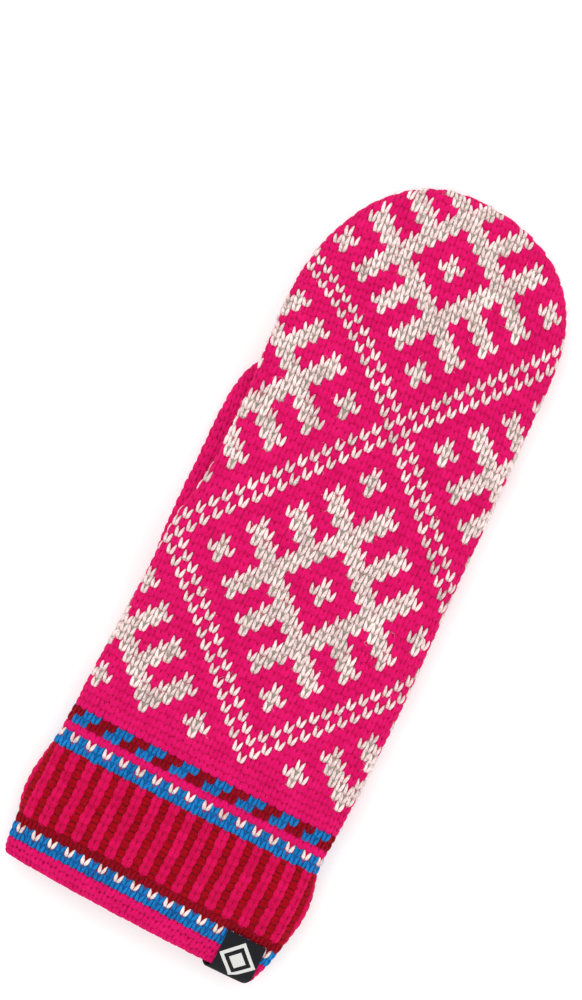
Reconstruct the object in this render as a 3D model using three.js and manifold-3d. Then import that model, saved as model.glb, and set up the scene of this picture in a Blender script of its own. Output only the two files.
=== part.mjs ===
// A right-hand mitten of thick knitted wool, lying palm down with its thumb folded under the palm.
// Millimetres, +Z up, +Y from the cuff to the fingertips, +X towards the little finger.
// The origin is under the middle of its box, on the surface that it lies on.
import * as THREE from "three";
import { mergeVertices } from "three/addons/utils/BufferGeometryUtils.js";
import Module from "manifold-3d";

const wasm = await Module();
wasm.setup();

// Driving dimensions. "along" is always measured from the fold of the label, at the cuff's end.
const LENGTH = 276.4;
const WALL = 3.0;
const THUMB_WALL = 2.4;
const HEM_WALL = 4.2;
const GAP = 0.3;
const STITCHES_ROUND = 72;

// Where one piece ends and the next one starts
const HEM_BOTTOM = 2.5;
const HEM_END = 10.3;
const RIB_END = 45.4;
const BORDER_END = 60.0;

// The fingertip end: the outline closes on one point
const TIP_START = 216.8;
const TIP_X = 2.1;
const SPINE_X = 3.0;
const TIP_RISE = 3.5;
const TIP_RISE_POWER = 6;
const TIP_LEFT_POWER = 2.2;
const TIP_RIGHT_POWER = 3.0;
const TIP_HEIGHT_POWER = 2.6;
const TIP_ROOT = 0.48;

// The cross-section: a flattened oval, fuller above than below and flat where it rests
const OVAL_ACROSS = 2.5;
const OVAL_UP = 2.3;
const FOLD_AT = 0.45;
const FLATTEN = 1.13;

// The thumb, which lies on the surface and lifts the palm above it
const THUMB_HEIGHT = 10.0;
const THUMB_ROOT = 103.0;
const THUMB_SEAM = 121.0;
const THUMB_END = 198.0;
const THUMB_TAPER_START = 166.0;
const THUMB_TIP_X = -36.5;
const THUMB_TIP_RISE = 2.5;
const THUMB_RISE_POWER = 5;
const THUMB_LEFT_POWER = 3.2;
const THUMB_RIGHT_POWER = 2.2;
const THUMB_RIGHT_ROOT = 0.6;
const THUMB_HEIGHT_POWER = 3;
const THUMB_OVAL_ROOT = 0.5;
const THUMB_CUT_X = -7.2;
const THUMB_CLEAR = 0.05;

// Where the palm climbs over the thumb and comes down again, and how the back follows it
const LIFT = THUMB_HEIGHT + GAP;
const PALM_CLIMB = { start: 104, full: 120, leaving: 203, gone: 236, side: -4, level: 23 };
const BACK_LIFT = 5.0;
const BACK_CLIMB = { start: 85, full: 130, leaving: 185, gone: 235, side: -30, level: 34 };

// The cuff's knit-one, purl-one rib
const RIDGE = 0.7;
const VALLEY = 0.7;
const PLAIN_END = 18.0;
const RIB_START = 20.6;
const PLAIN_INSET = 0.2;
const CUFF_MIDDLE = 31.0;
const CUFF_WALL = WALL + 0.4;

// The label, folded over the end of the cuff
const LABEL_LEFT = 31.0;
const LABEL_RIGHT = 45.2;
const LABEL_GAP = 0.35;
const LABEL_LENGTH = 14.3;
const LABEL_INSIDE_END = 9.6;
const LABEL_THICKNESS = 0.7;

// How finely the surfaces are divided
const MEASURING_STEPS = 360;
const HAND_ROUND = 44;
const THUMB_ROUND = 32;
const HEM_STEPS = 6;
const LABEL_STEPS = 8;
const TIP_CROWD = 1.5;
const TIP_OPEN = 0.02;
const MERGE_DISTANCE = 1e-4;

// Rows of a table as objects with the column names
function table(names, rows) {
  return rows.map((row) => Object.fromEntries(names.map((name, i) => [name, row[i]])));
}

// The hand and cuff from above, and how high the back stands: a row for each section.
// slope and arch say how a row of stitches runs across: up to the right, and bowed towards the tip.
const SECTIONS = table(
  ["along", "left", "right", "height", "slope", "arch"],
  [
    [2.4, -48.6, 46.4, 14.0, -0.035, 0.0],
    [7.2, -50.2, 48.2, 16.0, -0.035, 0.0],
    [12.3, -50.8, 49.6, 17.0, -0.035, 0.0],
    [19.1, -51.2, 51.0, 17.6, -0.032, 0.0],
    [31.0, -52.7, 52.7, 19.0, -0.03, 0.0],
    [46.7, -50.7, 50.5, 17.8, -0.03, 0.0],
    [60.0, -49.5, 51.3, 19.2, -0.032, 0.0],
    [73.6, -49.0, 52.0, 20.4, -0.033, 0.0],
    [94.1, -47.6, 52.6, 21.0, -0.015, 0.0004],
    [114.5, -46.5, 52.7, 21.0, 0.0, 0.0008],
    [135.0, -45.4, 52.3, 21.0, 0.01, 0.0008],
    [152.0, -42.2, 52.0, 20.8, 0.01, 0.0005],
    [175.9, -41.3, 52.0, 20.4, 0.005, 0.0002],
    [196.3, -42.2, 51.7, 19.8, 0.0, 0.0],
    [216.8, -43.2, 51.5, 19.0, 0.04, 0.0008],
    [251.0, -43.2, 51.5, 19.0, 0.09, 0.0022],
    [276.4, -43.2, 51.5, 19.0, 0.0, 0.0],
  ],
);

// The thumb from above, from inside the palm to where it starts to close
const THUMB_SECTIONS = table(
  ["along", "left", "right"],
  [
    [103.0, -38.0, -14.0],
    [112.0, -44.0, -10.0],
    [121.0, -46.8, -8.6],
    [136.0, -47.6, -8.0],
    [166.0, -47.6, -8.2],
    [198.0, -47.4, -9.6],
  ],
);

// A smooth curve through one column of a table
function through(rows, column) {
  const slopeAt = (i) => {
    const a = rows[Math.max(i - 1, 0)];
    const b = rows[Math.min(i + 1, rows.length - 1)];
    return (b[column] - a[column]) / (b.along - a.along);
  };
  return (along) => {
    const s = THREE.MathUtils.clamp(along, rows[0].along, rows.at(-1).along);
    const i = Math.min(rows.findIndex((row) => s <= row.along) || 1, rows.length - 1) - 1;
    const a = rows[i];
    const b = rows[i + 1];
    const step = b.along - a.along;
    const t = (s - a.along) / step;
    const bend = t * (1 - t);
    const line = a[column] * (1 - t) * (1 + 2 * t) * (1 - t) + b[column] * t * t * (3 - 2 * t);
    return line + bend * step * (slopeAt(i) * (1 - t) - slopeAt(i + 1) * t);
  };
}

const handLeft = through(SECTIONS, "left");
const handRight = through(SECTIONS, "right");
const handHeight = through(SECTIONS, "height");
const rowSlope = through(SECTIONS, "slope");
const rowArch = through(SECTIONS, "arch");
const thumbLeft = through(THUMB_SECTIONS, "left");
const thumbRight = through(THUMB_SECTIONS, "right");

// A quarter of an oval from 1 down to 0 as v goes from 0 to 1
function closing(v, power, root) {
  const clamped = THREE.MathUtils.clamp(v, 0, 1);
  return Math.pow(1 - Math.pow(clamped, power), root);
}

// 1 over the thumb, fading to 0 beyond its root, its tip and its inner side
function overThumb(x, along, climb) {
  const fade = THREE.MathUtils.smoothstep;
  const up = fade(along, climb.start, climb.full);
  const down = 1 - fade(along, climb.leaving, climb.gone);
  return up * down * (1 - fade(x, climb.side, climb.level));
}

// How far the thumb lifts the palm, and the back of the hand above it
const palmLift = (x, along) => LIFT * overThumb(x, along, PALM_CLIMB);
const backLift = (x, along) => BACK_LIFT * overThumb(x, along, BACK_CLIMB);

// One point round an oval: across and up are both from -1 to 1, up flattened below
function oval(angle) {
  const c = Math.cos(angle);
  const s = Math.sin(angle);
  const across = Math.sign(c) * Math.pow(Math.abs(c), 2 / OVAL_ACROSS);
  const up = Math.pow(Math.abs(s), 2 / OVAL_UP);
  return { across, up: s < 0 ? -Math.min(1, FLATTEN * up) : up };
}

// Height between a floor and a roof: the fold lies a little under the middle
function between(bottom, top, up) {
  const part = up < 0 ? FOLD_AT * (1 + up) : FOLD_AT + (1 - FOLD_AT) * up;
  return bottom + (top - bottom) * part;
}

// How far a row of stitches has strayed along by the time it reaches x
function stray(along, x) {
  const off = x - SPINE_X;
  return rowSlope(along) * off - rowArch(along) * off * off;
}

// Where the outline lies on one side, at the place where a row meets it
function outlineX(sideAt, inward, power, along, inset) {
  const at = (y) => {
    const v = (y - TIP_START) / (LENGTH - inset - TIP_START);
    return TIP_X + (sideAt(y) + inward * inset - TIP_X) * closing(v, power, TIP_ROOT);
  };
  return at(along + stray(along, at(along)));
}

// A point of the hand and cuff, a distance "inset" inside the outer face (or outside, if negative)
function handPoint(along, angle, inset) {
  const left = outlineX(handLeft, 1, TIP_LEFT_POWER, along, inset);
  const right = outlineX(handRight, -1, TIP_RIGHT_POWER, along, inset);
  const { across, up } = oval(angle);
  const x = (left + right) / 2 + ((right - left) / 2) * across;
  const v = THREE.MathUtils.clamp((along - TIP_START) / (LENGTH - inset - TIP_START), 0, 1);
  const rise = TIP_RISE * Math.pow(v, TIP_RISE_POWER);
  const shrink = closing(v, TIP_HEIGHT_POWER, TIP_ROOT);
  const bottom = Math.max(0, palmLift(x, along) + rise + inset * shrink);
  const top = backLift(x, along) + rise + (handHeight(along) - inset) * shrink;
  return new THREE.Vector3(x, along + stray(along, x), between(bottom, top, up));
}

// A point of the thumb, in the same way
function thumbPoint(along, angle, inset) {
  const v = (along - THUMB_TAPER_START) / (THUMB_END - inset - THUMB_TAPER_START);
  const leftShrink = closing(v, THUMB_LEFT_POWER, THUMB_OVAL_ROOT);
  const rightShrink = closing(v, THUMB_RIGHT_POWER, THUMB_RIGHT_ROOT);
  const left = THUMB_TIP_X + (thumbLeft(along) + inset - THUMB_TIP_X) * leftShrink;
  const right = THUMB_TIP_X + (thumbRight(along) - inset - THUMB_TIP_X) * rightShrink;
  const { across, up } = oval(angle);
  const x = (left + right) / 2 + ((right - left) / 2) * across;
  const rise = THUMB_TIP_RISE * Math.pow(THREE.MathUtils.clamp(v, 0, 1), THUMB_RISE_POWER);
  const height = (THUMB_HEIGHT - 2 * inset) * closing(v, THUMB_HEIGHT_POWER, THUMB_OVAL_ROOT);
  const z = between(rise + inset, rise + inset + height, up);
  return new THREE.Vector3(x, along, z);
}

// Points at equal steps round a section, starting on top, clockwise as seen from the cuff.
// "relief" gives the height of a rib at each step.
function ring(pointAt, along, inset, count, relief = () => 0) {
  const fine = MEASURING_STEPS;
  const angleAt = (k) => Math.PI / 2 - (k / fine) * 2 * Math.PI;
  const outline = Array.from({ length: fine + 1 }, (_, k) => pointAt(along, angleAt(k), inset));
  const run = [0];
  for (let k = 1; k <= fine; k++) run.push(run[k - 1] + outline[k].distanceTo(outline[k - 1]));
  let k = 0;
  return Array.from({ length: count }, (_, i) => {
    const target = (run[fine] * i) / count;
    while (run[k + 1] < target) k++;
    const part = (target - run[k]) / (run[k + 1] - run[k]);
    return pointAt(along, angleAt(k + part), inset - relief(i));
  });
}

// A closed surface through rings of equal length. With ends, they close on fans. Without, the last
// ring joins the first one, which makes a hollow band.
function loft(rings, closed) {
  const count = rings[0].length;
  const positions = rings.flat().flatMap((p) => [p.x, p.y, p.z]);
  const index = [];
  const quad = (a, b, c, d) => index.push(a, c, b, a, d, c);
  const joins = closed ? rings.length : rings.length - 1;
  for (let r = 0; r < joins; r++) {
    const here = r * count;
    const next = ((r + 1) % rings.length) * count;
    for (let i = 0; i < count; i++) {
      const j = (i + 1) % count;
      quad(here + i, next + i, next + j, here + j);
    }
  }
  if (!closed) {
    const fan = (start, forwards) => {
      const centre = new THREE.Vector3();
      for (let i = 0; i < count; i++) {
        centre.add(new THREE.Vector3().fromArray(positions, 3 * (start + i)));
      }
      centre.divideScalar(count);
      const hub = positions.length / 3;
      positions.push(centre.x, centre.y, centre.z);
      for (let i = 0; i < count; i++) {
        const j = (i + 1) % count;
        if (forwards) index.push(hub, start + j, start + i);
        else index.push(hub, start + i, start + j);
      }
    };
    fan(0, true);
    fan((rings.length - 1) * count, false);
  }
  const geometry = new THREE.BufferGeometry();
  geometry.setAttribute("position", new THREE.Float32BufferAttribute(positions, 3));
  geometry.setIndex(index);
  return geometry;
}

// manifold-3d only joins and cuts
function solid(geometry) {
  geometry.deleteAttribute("normal");
  geometry.deleteAttribute("uv");
  const merged = mergeVertices(geometry, MERGE_DISTANCE);
  return new wasm.Manifold(
    new wasm.Mesh({
      numProp: 3,
      vertProperties: new Float32Array(merged.attributes.position.array),
      triVerts: new Uint32Array(merged.index.array),
    }),
  );
}

function geometryOf(manifold) {
  const mesh = manifold.getMesh();
  const geometry = new THREE.BufferGeometry();
  geometry.setAttribute("position", new THREE.BufferAttribute(mesh.vertProperties, 3));
  geometry.setIndex(new THREE.BufferAttribute(mesh.triVerts, 1));
  return geometry;
}

function block(low, high) {
  const size = new THREE.Vector3().subVectors(high, low);
  const middle = new THREE.Vector3().addVectors(low, high).multiplyScalar(0.5);
  return solid(new THREE.BoxGeometry(size.x, size.y, size.z).translate(middle.x, middle.y, middle.z));
}

// Stations from one end to the other, closer together near a rounded tip
function stations(from, to, count, crowd = 1) {
  return Array.from({ length: count + 1 }, (_, i) => {
    const t = i / count;
    return from + (to - from) * (1 - Math.pow(1 - t, crowd));
  });
}

// A band of the cuff: a closed profile of [along, inset] pairs, carried round the section
function band(profile, count, relief) {
  return loft(profile.map(([along, inset]) => ring(handPoint, along, inset, count, relief)), true);
}

// The plain rounded hem that ends the cuff
function hem() {
  const radius = HEM_WALL / 2;
  const start = HEM_BOTTOM + radius;
  const profile = [];
  for (let i = 0; i <= HEM_STEPS; i++) {
    const turn = (i / HEM_STEPS) * Math.PI;
    profile.push([start - radius * Math.sin(turn), radius + radius * Math.cos(turn)]);
  }
  profile.push([HEM_END - GAP / 2, 0], [HEM_END - GAP / 2, HEM_WALL]);
  return band(profile, STITCHES_ROUND);
}

// The ribbed cuff: a ridge on every second stitch, and smooth where the colour rows are
function ribbedCuff() {
  const low = HEM_END + GAP / 2;
  const high = RIB_END - GAP / 2;
  const ribbed = stations(RIB_START, high, 4);
  const count = 2 * STITCHES_ROUND;
  const flat = (along) => ring(handPoint, along, PLAIN_INSET, count);
  const ribs = (i) => (i % 4 === 2 ? RIDGE : i % 4 === 0 ? -VALLEY : 0);
  const inner = (along) => ring(handPoint, along, CUFF_WALL, count);
  return loft(
    [
      flat(low),
      flat(PLAIN_END),
      ...ribbed.map((along) => ring(handPoint, along, 0, count, ribs)),
      inner(high),
      inner(CUFF_MIDDLE),
      inner(low),
    ],
    true,
  );
}

// The band of coloured rows at the wrist
function wristBorder() {
  const low = RIB_END + GAP / 2;
  const high = BORDER_END - GAP / 2;
  return band([[low, 0], [(low + high) / 2, 0], [high, 0], [high, WALL], [low, WALL]], STITCHES_ROUND);
}

// The hand and thumb as one hollow shell, cut apart where the thumb is knitted on
function handAndThumb() {
  const low = BORDER_END + GAP / 2;
  const { start, full } = PALM_CLIMB;
  const handRings = (from, inset, count) =>
    [
      ...stations(from, start, 5).slice(0, -1),
      ...stations(start, full, 4).slice(0, -1),
      ...stations(full, LENGTH - inset - TIP_OPEN, count, TIP_CROWD),
    ].map((along) => ring(handPoint, along, inset, HAND_ROUND));
  const thumbRings = (from, inset, count) =>
    stations(from, THUMB_END - inset - TIP_OPEN, count, TIP_CROWD).map((along) =>
      ring(thumbPoint, along, inset, THUMB_ROUND),
    );
  const handOuter = solid(loft(handRings(low, 0, 18)));
  const handInner = solid(loft(handRings(low - 2, WALL, 12)));
  const thumbOuter = solid(loft(thumbRings(THUMB_ROOT, 0, 12)));
  const thumbInner = solid(loft(thumbRings(THUMB_ROOT - 3, THUMB_WALL, 9)));
  const shell = handOuter.add(thumbOuter).subtract(handInner.add(thumbInner));
  const thumbSpace = (clearance) =>
    block(
      new THREE.Vector3(-LENGTH, THUMB_SEAM - clearance, -THUMB_HEIGHT),
      new THREE.Vector3(THUMB_CUT_X, THUMB_END, THUMB_HEIGHT + THUMB_CLEAR),
    );
  return {
    hand: geometryOf(shell.subtract(thumbSpace(GAP))),
    thumb: geometryOf(shell.intersect(thumbSpace(0))),
  };
}

// A closed sheet between two grids of points, the first one facing outwards
function sheet(outside, inside) {
  const rows = outside.length;
  const columns = outside[0].length;
  const positions = [...outside.flat(), ...inside.flat()].flatMap((p) => [p.x, p.y, p.z]);
  const index = [];
  const out = (r, c) => r * columns + c;
  const back = (r, c) => rows * columns + r * columns + c;
  const quad = (a, b, c, d) => index.push(a, b, c, a, c, d);
  for (let r = 0; r + 1 < rows; r++) {
    for (let c = 0; c + 1 < columns; c++) {
      quad(out(r, c), out(r + 1, c), out(r + 1, c + 1), out(r, c + 1));
      quad(back(r, c), back(r, c + 1), back(r + 1, c + 1), back(r + 1, c));
    }
    quad(out(r, 0), back(r, 0), back(r + 1, 0), out(r + 1, 0));
    quad(out(r, columns - 1), out(r + 1, columns - 1), back(r + 1, columns - 1), back(r, columns - 1));
  }
  for (let c = 0; c + 1 < columns; c++) {
    quad(out(0, c), out(0, c + 1), back(0, c + 1), back(0, c));
    quad(out(rows - 1, c), back(rows - 1, c), back(rows - 1, c + 1), out(rows - 1, c + 1));
  }
  const geometry = new THREE.BufferGeometry();
  geometry.setAttribute("position", new THREE.Float32BufferAttribute(positions, 3));
  geometry.setIndex(index);
  return geometry;
}

// The angle at which the back of a section reaches a given x
function angleAcross(along, x, inset) {
  const left = outlineX(handLeft, 1, TIP_LEFT_POWER, along, inset);
  const right = outlineX(handRight, -1, TIP_RIGHT_POWER, along, inset);
  const across = THREE.MathUtils.clamp((2 * x - left - right) / (right - left), -1, 1);
  return Math.acos(Math.sign(across) * Math.pow(Math.abs(across), OVAL_ACROSS / 2));
}

// The woven label: a strip that runs down the back, round the hem and a little way up inside.
// Its face lies a gap off the knitting, and its back the label's thickness beyond that.
function label() {
  const turnAt = HEM_BOTTOM + HEM_WALL / 2;
  const across = stations(LABEL_LEFT, LABEL_RIGHT, LABEL_STEPS);
  const side = (distance) => {
    const outer = stations(LABEL_LENGTH, turnAt, 5).map((along) =>
      across.map((x) => handPoint(along, angleAcross(along, x, -distance), -distance)),
    );
    const reach = HEM_WALL / 2 + distance;
    const path = [];
    for (let i = 1; i <= LABEL_STEPS; i++) {
      const turn = (i / LABEL_STEPS) * Math.PI;
      path.push([turnAt - reach * Math.sin(turn), HEM_WALL / 2 - reach * Math.cos(turn)]);
    }
    path.push([LABEL_INSIDE_END, HEM_WALL + distance]);
    const under = path.map(([along, inset]) =>
      across.map((x) => handPoint(along, angleAcross(turnAt, x, -distance), inset)),
    );
    return [...outer, ...under];
  };
  return sheet(side(LABEL_GAP + LABEL_THICKNESS), side(LABEL_GAP));
}

const WOOL_ROUGHNESS = 0.95;
const TAPE_ROUGHNESS = 0.8;

const colours = {
  pink: 0xe3126a,
  deepPink: 0xc40f52,
  blue: 0x1080c8,
  black: 0x222426,
};

function piece(name, geometry, colour, roughness) {
  const material = new THREE.MeshStandardMaterial({ color: colour, roughness, metalness: 0 });
  geometry.computeVertexNormals();
  const mesh = new THREE.Mesh(geometry, material);
  mesh.name = name;
  mesh.position.y = -LENGTH / 2;
  return mesh;
}

const { hand, thumb } = handAndThumb();
const mitten = new THREE.Group();
mitten.add(piece("hand", hand, colours.pink, WOOL_ROUGHNESS));
mitten.add(piece("thumb", thumb, colours.pink, WOOL_ROUGHNESS));
mitten.add(piece("wrist_border", wristBorder(), colours.blue, WOOL_ROUGHNESS));
mitten.add(piece("ribbed_cuff", ribbedCuff(), colours.deepPink, WOOL_ROUGHNESS));
mitten.add(piece("hem", hem(), colours.pink, WOOL_ROUGHNESS));
mitten.add(piece("label", label(), colours.black, TAPE_ROUGHNESS));

export default mitten;
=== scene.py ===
import math
from collections import namedtuple

import bmesh
import bpy
import numpy as np
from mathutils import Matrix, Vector


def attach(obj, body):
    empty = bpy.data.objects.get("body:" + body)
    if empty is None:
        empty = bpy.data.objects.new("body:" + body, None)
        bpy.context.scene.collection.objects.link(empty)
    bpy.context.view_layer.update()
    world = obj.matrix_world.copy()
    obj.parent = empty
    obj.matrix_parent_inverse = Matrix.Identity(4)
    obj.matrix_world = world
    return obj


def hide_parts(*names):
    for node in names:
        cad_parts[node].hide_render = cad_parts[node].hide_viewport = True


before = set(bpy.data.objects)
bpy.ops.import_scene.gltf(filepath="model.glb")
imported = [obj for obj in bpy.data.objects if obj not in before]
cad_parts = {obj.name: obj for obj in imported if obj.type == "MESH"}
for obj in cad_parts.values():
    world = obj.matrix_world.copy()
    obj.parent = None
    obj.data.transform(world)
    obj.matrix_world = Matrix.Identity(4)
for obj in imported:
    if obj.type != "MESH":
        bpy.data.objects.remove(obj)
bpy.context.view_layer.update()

# A knitted wool mitten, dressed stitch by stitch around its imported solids.
# Lengths below are in millimetres and are turned into metres where a mesh is made.
# "Along" runs from the cuff to the fingertips, and an inset is a depth inside the outer face.
MM = 0.001


def table(names, *rows):
    """Rows of numbers as one array for each named column."""
    return dict(zip(names.split(), np.array(rows, float).T))


# The mitten's sizes
LENGTH = 276.4
WALL = 3.0
CUFF_WALL = 3.4
THUMB_WALL = 2.4
HEM_WALL = 4.2
HEM_BOTTOM = 1.9
HEM_TURN = HEM_BOTTOM + HEM_WALL / 2
HEM_END = 10.3
RIB_END = 45.4
BORDER_END = 60.0
JOIN = 0.15
GAP = 0.3

# The rounded fingertips
TIP_START = 216.8
TIP_X = 2.1
SPINE_X = 3.0
TIP_RISE = 3.5
TIP_RISE_POWER = 6
TIP_LEFT_POWER = 2.2
TIP_RIGHT_POWER = 3.2
TIP_HEIGHT_POWER = 2.6
TIP_ROOT = 0.48

# The section, a flattened oval whose two folds lie a little under its middle
OVAL_ACROSS = 2.5
OVAL_UP = 2.3
FOLD_AT = 0.45
FLATTEN = 1.13

# The thumb, folded under the palm
THUMB_HEIGHT = 10.0
THUMB_ROOT = 103.0
THUMB_SEAM = 121.0
THUMB_END = 198.0
THUMB_TAPER_START = 166.0
THUMB_TIP_X = -36.5
THUMB_TIP_RISE = 2.5
THUMB_RISE_POWER = 5
THUMB_LEFT_POWER = 3.2
THUMB_RIGHT_POWER = 2.2
THUMB_RIGHT_ROOT = 0.6
THUMB_HEIGHT_POWER = 3
THUMB_OVAL_ROOT = 0.5

# How the palm and the back rise over the thumb
PALM_LIFT = THUMB_HEIGHT + GAP
PALM_CLIMB = dict(start=104, full=120, leaving=203, gone=236, side=-4, level=23)
BACK_LIFT = 5.0
BACK_CLIMB = dict(start=85, full=130, leaving=185, gone=235, side=-30, level=34)

# The label. Its mark is a ring and a core, measured as across plus along from their middle.
LABEL_LEFT = 31.0
LABEL_RIGHT = 45.5
LABEL_WIDTH = LABEL_RIGHT - LABEL_LEFT
LABEL_GAP = 0.35
LABEL_LENGTH = 15.9
LABEL_INSIDE_END = 9.6
LABEL_THICKNESS = 0.7
LABEL_ACROSS = 24
LABEL_STRAIGHT_STEPS = 16
LABEL_TURN_STEPS = 14
LABEL_INSIDE_STEPS = 6
LABEL_MARK_AT = 8.2
MARK_RING = 6.9
MARK_RING_INSIDE = 5.2
MARK_CORE = 3.2

# The outline, the height and the bend of the rows at stations along the mitten
SECTIONS = table(
    "along left right height slope arch",
    (2.4, -48.6, 46.4, 14.0, -0.045, -0.0003),
    (7.2, -50.2, 48.2, 16.0, -0.038, 0.0001),
    (12.3, -50.8, 49.6, 17.0, -0.035, 0.0003),
    (19.1, -51.2, 51.0, 17.6, -0.032, 0.0002),
    (31.0, -52.7, 52.7, 19.0, -0.03, 0.0),
    (46.7, -50.7, 50.5, 17.8, -0.03, 0.0),
    (60.0, -49.5, 51.3, 19.2, -0.032, 0.0),
    (73.6, -49.0, 52.0, 20.4, -0.033, 0.0),
    (94.1, -47.6, 52.6, 21.0, -0.015, 0.0004),
    (114.5, -46.5, 52.7, 21.0, 0.0, 0.0008),
    (135.0, -45.4, 52.3, 21.0, 0.01, 0.0008),
    (152.0, -42.2, 52.0, 20.8, 0.01, 0.0005),
    (175.9, -41.3, 52.0, 20.4, 0.005, 0.0002),
    (196.3, -42.2, 51.7, 19.8, -0.009, 0.0002),
    (216.8, -43.2, 51.5, 19.0, 0.012, 0.0014),
    (251.0, -43.2, 51.5, 19.0, 0.09, 0.0022),
    (276.4, -43.2, 51.5, 19.0, 0.0, 0.0),
)

THUMB_SECTIONS = table(
    "along left right",
    (103.0, -38.0, -14.0),
    (112.0, -44.0, -10.0),
    (121.0, -46.8, -8.6),
    (136.0, -47.6, -8.0),
    (166.0, -47.6, -8.2),
    (198.0, -47.4, -9.6),
)

# The knitting. Row 0 and column 0 meet in the middle of the whole snowflake on the back.
COLUMNS = 72
HALF_ROUND = COLUMNS // 2
THUMB_COLUMNS = 28
THUMB_ROW = 3.3
COLUMN_MM = 3.05
ROW_MM = 3.3
YARN_DEPTH = 0.6
BED_DEPTH = 0.62

# How finely the surfaces are measured: in rows, round a row, and round a section
ROW_STEP = 0.25
SAMPLES = 4 * COLUMNS
MEASURES = 720

# The fabric starts inside the hem, turns round its end and goes up to the fingertips.
# There a stitch of the back still shows when it lies a small share of a column past a fold,
# and its legs may lap over the fold by a millimetre.
FIRST_ROW = -45.0
FIRST_STITCHES = -43
TURN_ROW = -40.6
TURN_PITCH = 2.9
LAST_STITCHES = 45
LAST_ROW = 45.5
FOLD_SPARE = 0.2
FOLD_LAP = 1.0

# Where each row lies on the mitten, which column is in the middle of the back there,
# and how wide the columns of the back are
ROWS = table(
    "row along middle pitch",
    (-45.0, 4.0, -2.95, 2.85),
    (-41.0, 4.0, -2.95, 3.0),
    (-40.0, 5.8, -2.95, 3.08),
    (-39.0, 8.8, -2.95, 3.12),
    (-38.0, 11.6, -2.95, 3.14),
    (-37.0, 14.45, -2.95, 3.16),
    (-36.0, 17.3, -2.95, 3.17),
    (-35.0, 20.8, -2.95, 3.19),
    (-28.0, 43.7, -2.95, 3.19),
    (-27.0, 46.9, -2.95, 3.18),
    (-23.0, 58.6, -2.95, 3.16),
    (-19.0, 69.8, -2.76, 3.15),
    (-18.0, 73.0, -2.74, 3.15),
    (-12.0, 92.7, -2.63, 3.15),
    (0.0, 132.1, -2.43, 3.13),
    (12.0, 173.0, -1.6, 3.12),
    (18.0, 193.2, -1.64, 3.12),
    (24.0, 213.0, -1.33, 3.12),
    (30.0, 231.7, -0.63, 3.12),
    (36.0, 250.2, 0.2, 3.12),
    (40.0, 262.6, 0.58, 3.12),
    (42.0, 269.0, 0.61, 3.12),
    (43.0, 271.8, 0.6, 3.12),
    (44.0, 274.1, 0.6, 3.12),
    (45.0, 275.8, 0.6, 3.12),
    (45.5, 276.4, 0.6, 3.12),
)

# The first rows of the cuff, the wrist border, the hand and the chart, and both ends of the rib
CUFF_ROW = -38
BORDER_ROW = -27
HAND_ROW = -22
CHART_ROW = -18
RIB_FIRST = -35
RIB_LAST = -28

# The chart's repeat, and the places of a flake's bars, ends and dots from its middle
REPEAT = 36
BAR_FROM = 5
BAR_TO = 7
FLAKE_END = 13
DOT_AT = 12

# The rib's relief, and how it fades out in the rows before and after
RIB_RELIEF = 0.45
RIB_FADE_OUTSIDE = 0.9
RIB_FADE_INSIDE = 0.3

PINK, WHITE, BLUE, RED, RIB_PINK, RIB_RED = range(6)

# A leg of a stitch: a stretched ball, fuller than round, thick at its foot and crowned
LEG_SIDES = 5
LEG_LEVELS = 6
LEG_FULLNESS = -0.2
LEG_LEAST = 0.05
LEG_BEND = 0.8
LEG_FOOT = 1.15
LEG_CREST = 0.2
LEG_DROP = 0.36
LEG_CREST_AT = 1.1
BAR_CREST = 0.15

# How much one stitch differs from the next
ROW_SPREAD = 0.03
DRIFT_SPREAD = 0.025
SIZE_SPREAD = 0.035
TILT_SPREAD = 0.06
LIFT_SPREAD = 0.06
SHADE_SPREAD = 0.1

# How far the natural stitches stand proud, and the lowest that any point may lie
NATURAL_LIFT = 0.1
GROUND = 0.02

# The stitches left out where thumb and palm meet: how deep inside the other they lie
THUMB_EDGE = 1.5
THUMB_FLOOR = 1.8
PALM_DEPTH = 0.8

# Loose fibres
FIBRE_LENGTH = (0.8, 2.4)
FIBRE_STAND = (0.3, 1.1)
FIBRE_ROOT = 0.2
FIBRE_RADIUS = 0.045
FIBRE_TAPER = 0.7
FIBRE_STEPS = 3
FIBRE_SIDES = 3
FIBRE_CURL = 1.2
FIBRE_LEAST_STEP = 0.1
FIBRE_ASIDE = (0.31, 0.17, 0.93)
PINK_FIBRES = 3600
NATURAL_FIBRES = 1600
RIB_FIBRES = 500

# How finely the bodies are divided, and how much their stations crowd towards the tip
HAND_STEPS = dict(inside_steps=60, outside_steps=130, outside_crowd=1.4)
THUMB_STEPS = dict(inside_steps=30, outside_steps=40, outside_crowd=1.8)
INSIDE_CROWD = 1.8
THUMB_AROUND = 64
THUMB_BODY_START = THUMB_ROOT + 3
WRIST_STEPS = 10
CUFF_STEPS = 24
HEM_ROLL_STEPS = 8


# Smooth curves and the mitten's surfaces


class Curve:
    """A smooth curve through one column of a table."""

    def __init__(self, rows, column, by="along"):
        self.at = rows[by]
        self.value = rows[column]
        index = np.arange(len(self.at))
        before = np.maximum(index - 1, 0)
        after = np.minimum(index + 1, len(index) - 1)
        rise = self.value[after] - self.value[before]
        self.slope = rise / (self.at[after] - self.at[before])

    def __call__(self, at):
        at = np.clip(at, self.at[0], self.at[-1])
        i = np.clip(np.searchsorted(self.at, at) - 1, 0, len(self.at) - 2)
        step = self.at[i + 1] - self.at[i]
        t = (at - self.at[i]) / step
        start = self.value[i] * (1 - t) ** 2 * (1 + 2 * t)
        end = self.value[i + 1] * t * t * (3 - 2 * t)
        bend = self.slope[i] * (1 - t) - self.slope[i + 1] * t
        return start + end + t * (1 - t) * step * bend


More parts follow.
